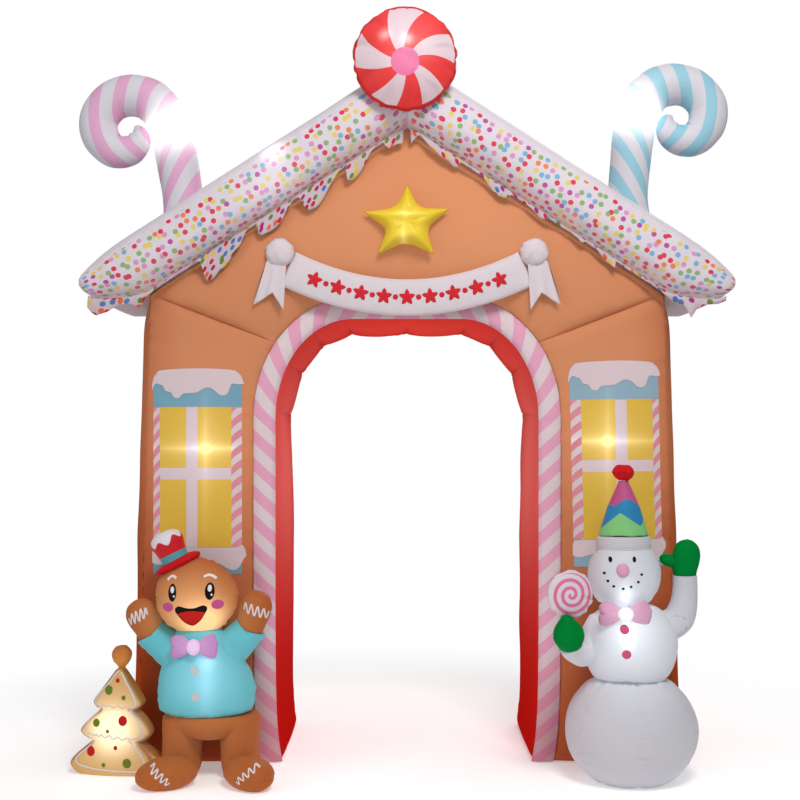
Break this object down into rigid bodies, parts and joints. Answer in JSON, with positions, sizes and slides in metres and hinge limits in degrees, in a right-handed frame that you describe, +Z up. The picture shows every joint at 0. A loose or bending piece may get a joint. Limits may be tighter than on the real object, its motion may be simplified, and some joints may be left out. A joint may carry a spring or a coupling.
{
  "type": "inflatable arch",
  "caption": "Walk-through inflatable arch in the form of a gabled biscuit house, with puffed roof, curled canes, a star, and a waving figure and a snowman at its feet.",
  "frame": {"origin": "on the floor, under the middle of the whole object's box", "axes": "+Z up, +X to the viewer's right as one faces the front, -Y towards the viewer, so the way through the doorway runs along Y"},
  "size_m": [2.7191, 1.2974, 2.969],
  "materials": {
    "gingerbread_cloth": "gingerbread-brown woven polyester with printed windows, slight sheen",
    "red_cloth": "red woven polyester, slight sheen",
    "striped_cloth": "pink and off-white diagonal stripes printed on woven polyester",
    "icing_cloth": "off-white woven polyester with printed coloured dots",
    "pink_stripe_cloth": "pink and white stripes printed on woven polyester",
    "blue_stripe_cloth": "light blue and white stripes printed on woven polyester",
    "yellow_cloth": "yellow woven polyester, lit from inside",
    "off_white_cloth": "off-white woven polyester",
    "brown_cloth": "biscuit-brown woven polyester, lit from inside",
    "aqua_cloth": "aqua woven polyester, lit from inside",
    "lilac_cloth": "lilac woven polyester",
    "biscuit_cloth": "golden-brown woven polyester with printed icing lines, lit from inside",
    "white_cloth": "white woven polyester, lit from inside",
    "pink_cloth": "pink woven polyester",
    "hat_cloth": "woven polyester with zigzag bands of green, blue and magenta",
    "green_cloth": "dark green woven polyester"
  },
  "bodies": {
    "root": {"house_shell": "gingerbread_cloth", "doorway_lining": "red_cloth", "doorway_border": "striped_cloth", "roof_left": "icing_cloth", "roof_right": "icing_cloth", "icing_drape_left": "icing_cloth", "icing_drape_right": "icing_cloth", "candy_cane_left": "pink_stripe_cloth", "candy_cane_right": "blue_stripe_cloth", "peppermint": "red_cloth", "star": "yellow_cloth", "banner": "off_white_cloth", "rosette_left": "off_white_cloth", "rosette_right": "off_white_cloth", "ribbon_tail_left": "off_white_cloth", "ribbon_tail_right": "off_white_cloth", "ginger_head": "brown_cloth", "ginger_shirt": "aqua_cloth", "ginger_hips": "brown_cloth", "ginger_leg_left": "brown_cloth", "ginger_leg_right": "brown_cloth", "ginger_foot_left": "brown_cloth", "ginger_foot_right": "brown_cloth", "ginger_sleeve_left": "aqua_cloth", "ginger_sleeve_right": "aqua_cloth", "ginger_hand_left": "brown_cloth", "ginger_hand_right": "brown_cloth", "ginger_hat_brim": "red_cloth", "ginger_hat_crown": "red_cloth", "ginger_bow": "lilac_cloth", "ginger_bow_knot": "lilac_cloth", "biscuit_tree": "biscuit_cloth", "tree_knob": "brown_cloth", "snow_base": "white_cloth", "snow_body": "white_cloth", "snow_head": "white_cloth", "snow_hat_band": "white_cloth", "snow_hat": "hat_cloth", "snow_pompom": "red_cloth", "snow_arm_raised": "white_cloth", "snow_mitten_raised": "green_cloth", "snow_arm_folded": "white_cloth", "snow_mitten_folded": "green_cloth", "lollipop": "pink_stripe_cloth", "snow_bow": "pink_cloth", "snow_bow_knot": "white_cloth"}
  },
  "joints": []
}
